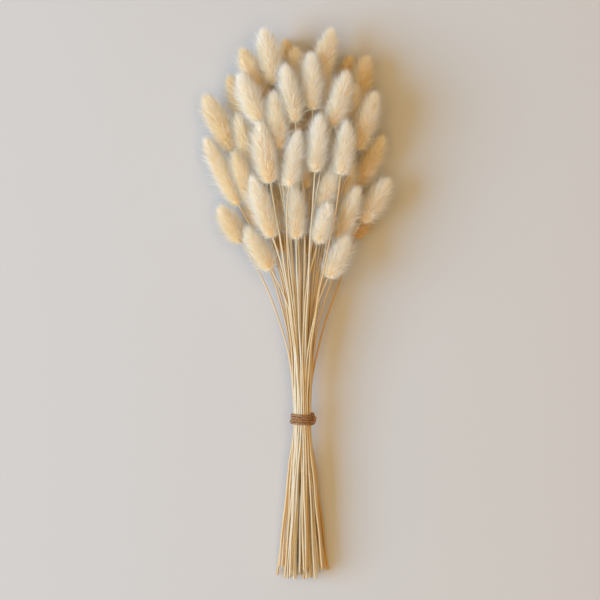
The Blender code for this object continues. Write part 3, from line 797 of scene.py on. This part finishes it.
def plies(path, ups, settings):
    """The plies of the twine, twisted round its middle."""
    steps = np.linalg.norm(np.diff(path, axis=0), axis=1)
    along = np.concatenate([[0.0], np.cumsum(steps)])
    ways = unit(np.gradient(path, axis=0))
    side = unit(np.cross(ways, ups))
    over = np.cross(side, ways)
    ply = PLY_RADIUS * settings.radius
    radii = np.full(len(path), ply * PLY_SWELL)
    radii[0] = radii[-1] = PLY_END * ply
    meshes = []
    for number in range(PLIES):
        turn = math.tau * (along / settings.lay + number / PLIES)
        off = np.cos(turn)[:, None] * side + np.sin(turn)[:, None] * over
        meshes.append(tube(path + off * ply * PLY_OFF, radii, PLY_SIDES, off, along)[0])
    return meshes


def joined(name, meshes):
    """One mesh from several closed ones that lie against each other."""
    whole = bmesh.new()
    for mesh in meshes:
        data = bpy.data.meshes.new(name)
        mesh.to_mesh(data)
        mesh.free()
        whole.from_mesh(data)
        bpy.data.meshes.remove(data)
    return whole


class BUNCH_OT_twine(bpy.types.Operator):
    """Wind the twine round the stems, cross it over itself and knot it"""

    bl_idname = "bunch.twine"
    bl_label = "Twine Tie"

    def execute(self, context):
        settings = context.scene.bunch_twine
        finish = twine_material(settings)
        chance = np.random.default_rng(TWINE_SEED)
        path, spokes = wound_path(settings)
        self.add_cord("twine_winding", path, spokes, settings, finish)
        knot = knot_path()
        self.add_cord("twine_knot", knot, np.broadcast_to([1.0, 0.0, 0.0], knot.shape), settings, finish)
        self.add_fibres(path, spokes, settings, finish, chance)
        return {"FINISHED"}

    def add_cord(self, name, path, ups, settings, finish):
        """A run of twine as one piece."""
        whole = joined(name, plies(path, ups, settings))
        for face in whole.faces:
            face.smooth = True
        data = bpy.data.meshes.new(name)
        whole.to_mesh(data)
        whole.free()
        add_piece(name, data, [TIE], [finish])

    def add_fibres(self, path, spokes, settings, finish, chance):
        """Fine loose ends that stand out of the twist."""
        count = settings.fibres
        picks = chance.integers(2, len(path) - 2, count)
        ways = unit(path[picks + 1] - path[picks - 1])
        spread = unit(spokes[picks] + chance.normal(0, FIBRE_SPREAD, (count, 3)))
        spread = unit(spread - (spread * ways).sum(axis=1, keepdims=True) * ways)
        roots = path[picks] + spread * settings.radius * FIBRE_ROOT
        lean = ways * chance.choice([-1, 1], (count, 1)) * chance.uniform(*FIBRE_LEANS, (count, 1))
        tips = roots + unit(spread * FIBRE_OUT + lean) * chance.uniform(*FIBRE_LENGTHS, (count, 1)) * MM
        widths, tones = np.full(count, FIBRE_RADIUS), np.full(count, FIBRE_TONE)
        parts = [planted(hair_master(), roots, tips, widths, tones, spread, FIBRE_SOFTNESS)]
        data = mesh_from("twine_fibres", parts)
        add_piece("twine_fibres", data, [TIE], [finish])


# --- Finishes -----------------------------------------------------------------------------------------------

# Real streaks in straw and fibres in jute are about a tenth of a millimetre wide. They are drawn coarser, so
# that they show.
STREAKS_ROUND = 3.0
STREAK_LENGTH = 100 / 3 * MM
STREAK_SHIFT = (1.7, 3.1)
FIBRE_GRAIN = 10 / 9 * MM
WHITE = (1.0, 1.0, 1.0)


def add_node(tree, kind, settings=None, links=None, stops=()):
    """A shader node with its settings, and its inputs given as numbers or linked from other nodes' outputs.

    A colour ramp also takes its stops, each with its place and its colour.
    """
    node = tree.nodes.new(kind)
    for name, value in (settings or {}).items():
        setattr(node, name, value)
    for name, value in (links or {}).items():
        if isinstance(value, bpy.types.NodeSocket):
            tree.links.new(value, node.inputs[name])
        else:
            node.inputs[name].default_value = value
    for number, (place, shade) in enumerate(stops):
        elements = node.color_ramp.elements
        element = elements[number] if number < len(elements) else elements.new(place)
        element.position = place
        element.color = (*shade, 1.0)
    return node


def new_material(name):
    finish = bpy.data.materials.new(name)
    finish.use_nodes = True
    finish.node_tree.nodes.clear()
    return finish, finish.node_tree


def fluff_material(settings, name, glow):
    """Grass hair: dull and soft, pale at the ends and golden at the roots, which is partly the hair's own
    colour and partly painted shade deep in the fluff. Some light seeps through it.
    """
    finish, tree = new_material(name)
    place = add_node(tree, "ShaderNodeUVMap", {"uv_map": UV_LAYER})
    split = add_node(tree, "ShaderNodeSeparateXYZ", links={"Vector": place.outputs["UV"]})
    shades = add_node(tree, "ShaderNodeValToRGB", links={"Fac": split.outputs["Y"]}, stops=(
        (0.0, settings.root_colour),
        (0.25, settings.middle_colour),
        (0.7, settings.tip_colour),
    ))
    # Across the texture is each hair's shade: the heads' own random difference, with painted light on heads
    # on top and painted shade on hidden ones.
    tint = add_node(tree, "ShaderNodeValToRGB", links={"Fac": split.outputs["X"]}, stops=(
        (0.0, settings.golden_tint),
        (0.45, settings.middle_tint),
        (0.9, settings.pale_tint),
    ))
    shaded = add_node(tree, "ShaderNodeVectorMath", {"operation": "MULTIPLY"}, {
        0: shades.outputs["Color"], 1: tint.outputs["Color"],
    })
    shader = add_node(tree, "ShaderNodeBsdfPrincipled", {"subsurface_method": "BURLEY"}, {
        "Base Color": shaded.outputs[0], "Roughness": 0.9, "Specular IOR Level": 0.15,
        "Subsurface Weight": glow, "Subsurface Scale": 5 * MM, "Subsurface Radius": (1.0, 0.85, 0.6),
    })
    add_node(tree, "ShaderNodeOutputMaterial", links={"Surface": shader.outputs[0]})
    return finish


def straw_material(settings, number, length, joint, bleached):
    """Dried straw: a smooth, slightly waxy skin with pale and golden streaks, and golden towards the head as
    painted shade among the heads.

    The higher a stem lies in the bunch, the more of it is pale, as painted light, and the lower, the more
    golden, as painted shade. The streaks are shifted by the stem's number, so that no two stems are alike.
    """
    finish, tree = new_material(f"dried_straw_{number:02d}")
    place = add_node(tree, "ShaderNodeUVMap", {"uv_map": UV_LAYER})
    along = add_node(tree, "ShaderNodeMapping", links={
        "Vector": place.outputs["UV"], "Scale": (STREAKS_ROUND, 1 / STREAK_LENGTH, 1.0),
        "Location": (number * STREAK_SHIFT[0], number * STREAK_SHIFT[1], 0.0),
    })
    streaks = add_node(tree, "ShaderNodeTexNoise", links={
        "Vector": along.outputs[0], "Scale": 1.0, "Detail": 3.0,
    })
    # The stops move with the stem's height: painted light on top, painted shade below.
    shades = add_node(tree, "ShaderNodeValToRGB", links={"Fac": streaks.outputs["Fac"]}, stops=(
        (0.32 - bleached, settings.gold_colour),
        (0.64 - bleached, settings.pale_colour),
    ))
    split = add_node(tree, "ShaderNodeSeparateXYZ", links={"Vector": place.outputs["UV"]})
    reached = add_node(tree, "ShaderNodeMapRange", links={
        "Value": split.outputs["Y"], "From Min": 0.5 * length, "From Max": 0.9 * length,
    })
    # Painted shade: golden towards the head, where the stem runs among the heads.
    painted_neck_shade = add_node(tree, "ShaderNodeValToRGB", links={"Fac": reached.outputs[0]}, stops=(
        (0.0, WHITE), (1.0, settings.neck_painted_shade),
    ))
    beyond = add_node(tree, "ShaderNodeMath", {"operation": "SUBTRACT"}, {0: split.outputs["Y"], 1: joint})
    apart = add_node(tree, "ShaderNodeMath", {"operation": "ABSOLUTE"}, {0: beyond.outputs[0]})
    near_joint = add_node(tree, "ShaderNodeMapRange", links={
        "Value": apart.outputs[0], "From Min": 0.6 * MM, "From Max": 1.4 * MM,
    })
    ring = add_node(tree, "ShaderNodeValToRGB", links={"Fac": near_joint.outputs[0]}, stops=(
        (0.0, settings.joint_tint), (1.0, WHITE),
    ))
    tint = add_node(tree, "ShaderNodeVectorMath", {"operation": "MULTIPLY"}, {
        0: painted_neck_shade.outputs["Color"], 1: ring.outputs["Color"],
    })
    shaded = add_node(tree, "ShaderNodeVectorMath", {"operation": "MULTIPLY"}, {
        0: shades.outputs["Color"], 1: tint.outputs[0],
    })
    shader = add_node(tree, "ShaderNodeBsdfPrincipled", links={
        "Base Color": shaded.outputs[0], "Roughness": 0.5,
    })
    add_node(tree, "ShaderNodeOutputMaterial", links={"Surface": shader.outputs[0]})
    return finish


def twine_material(settings):
    """Jute: rough, matt fibres, in shades that change from one strand to the next."""
    finish, tree = new_material("twisted_jute")
    place = add_node(tree, "ShaderNodeTexCoord")
    grain = add_node(tree, "ShaderNodeTexNoise", links={
        "Vector": place.outputs["Object"], "Scale": 1 / FIBRE_GRAIN, "Detail": 4.0,
    })
    shades = add_node(tree, "ShaderNodeValToRGB", links={"Fac": grain.outputs["Fac"]}, stops=(
        (0.3, settings.dark_colour), (0.7, settings.light_colour),
    ))
    bump = add_node(tree, "ShaderNodeBump", links={
        "Height": grain.outputs["Fac"], "Strength": 0.5, "Distance": 0.2 * MM,
    })
    shader = add_node(tree, "ShaderNodeBsdfPrincipled", links={
        "Base Color": shades.outputs["Color"], "Roughness": 0.95, "Specular IOR Level": 0.2,
        "Normal": bump.outputs[0],
    })
    add_node(tree, "ShaderNodeOutputMaterial", links={"Surface": shader.outputs[0]})
    return finish


# --- Stage --------------------------------------------------------------------------------------------------

# The colours of light are linear. They add up to about white on the floor, which keeps its own colour.
FLOOR_HALF = 6.0
ROOM_COLOUR, ROOM_STRENGTH = (1.0, 0.725, 0.41), 0.28
LAMP_DISTANCE = 3.0
LAMPS = (                   # name, way to the lamp, size, power in watts and colour
    ("window", (-1.0, -0.1, 0.8), 2.0, 96.2, (0.3, 0.627, 1.0)),
    ("ceiling", (0.0, 0.0, 1.0), 2.5, 47.0, (1.0, 0.7, 0.34)),
    ("glow", (-1.0, -0.2, 0.3), 2.0, 25.0, (1.0, 0.62, 0.35)),
)
VIEW_CENTRE = (2.4 * MM, 4.8 * MM)
VIEW_LEVEL = 30 * MM        # height at which the view's width is measured
SENSOR = 36.0
FAR = 20.0


class BUNCH_OT_stage(bpy.types.Operator):
    """Lay the bunch on a plain floor, lit softly from the left and seen from straight above"""

    bl_idname = "bunch.stage"
    bl_label = "Floor, Light and Camera"

    def execute(self, context):
        settings = context.scene.bunch_stage
        scene = context.scene
        scene.view_settings.view_transform = "Standard"

        mesh = bmesh.new()
        bmesh.ops.create_grid(mesh, x_segments=1, y_segments=1, size=FLOOR_HALF)
        data = bpy.data.meshes.new("floor")
        mesh.to_mesh(data)
        mesh.free()
        # Plaster: quite matt, so that it shows nothing but the soft shadow.
        finish, tree = new_material("pale_plaster")
        shader = add_node(tree, "ShaderNodeBsdfPrincipled", links={
            "Base Color": (*settings.floor_colour, 1.0), "Roughness": 0.95, "Specular IOR Level": 0.1,
        })
        add_node(tree, "ShaderNodeOutputMaterial", links={"Surface": shader.outputs[0]})
        data.materials.append(finish)
        floor = bpy.data.objects.new("floor", data)
        scene.collection.objects.link(floor)

        world = bpy.data.worlds.new("soft_room")
        scene.world = world
        world.use_nodes = True
        world.node_tree.nodes["Background"].inputs["Color"].default_value = (*ROOM_COLOUR, 1.0)
        world.node_tree.nodes["Background"].inputs["Strength"].default_value = ROOM_STRENGTH

        for name, way, lamp_size, energy, shade in LAMPS:
            lamp = bpy.data.lights.new(name, "AREA")
            lamp.shape = "SQUARE"
            lamp.size = lamp_size
            lamp.energy = energy
            lamp.color = shade
            place = bpy.data.objects.new(name, lamp)
            scene.collection.objects.link(place)
            way = Vector(way).normalized()
            place.location = way * LAMP_DISTANCE
            place.rotation_euler = way.to_track_quat("Z", "Y").to_euler()

        camera = bpy.data.objects.new("camera", bpy.data.cameras.new("camera"))
        scene.collection.objects.link(camera)
        camera.location = (*VIEW_CENTRE, settings.camera_height)
        camera.data.sensor_width = SENSOR
        distance = settings.camera_height - VIEW_LEVEL
        camera.data.lens = SENSOR * distance / settings.view_width
        camera.data.clip_end = FAR
        scene.camera = camera
        return {"FINISHED"}


class BUNCH_PT_panel(bpy.types.Panel):
    """The bunch's operators, each with its sizes and colours"""

    bl_idname = "BUNCH_PT_panel"
    bl_label = "Bunny Tail Bunch"
    bl_space_type = "VIEW_3D"
    bl_region_type = "UI"
    bl_category = "Bunch"

    def draw(self, context):
        layout = self.layout
        for operator, group in GROUPS.items():
            layout.operator(operator)
            settings = getattr(context.scene, group)
            for name in settings.__annotations__:
                layout.prop(settings, name)


GROUPS = {
    "bunch.heads": "bunch_heads",
    "bunch.stems": "bunch_stems",
    "bunch.twine": "bunch_twine",
    "bunch.stage": "bunch_stage",
}
SETTINGS = {
    "bunch_heads": HeadSettings,
    "bunch_stems": StemSettings,
    "bunch_twine": TwineSettings,
    "bunch_stage": StageSettings,
}
CLASSES = (*SETTINGS.values(), BUNCH_OT_heads, BUNCH_OT_stems, BUNCH_OT_twine, BUNCH_OT_stage, BUNCH_PT_panel)


def register():
    for kind in CLASSES:
        bpy.utils.register_class(kind)
    for name, kind in SETTINGS.items():
        setattr(bpy.types.Scene, name, PointerProperty(type=kind))


def unregister():
    for name in SETTINGS:
        delattr(bpy.types.Scene, name)
    for kind in reversed(CLASSES):
        bpy.utils.unregister_class(kind)


def main():
    register()
    bpy.ops.bunch.heads()
    bpy.ops.bunch.stems()
    bpy.ops.bunch.twine()
    bpy.ops.bunch.stage()


if __name__ == "__main__":
    main()
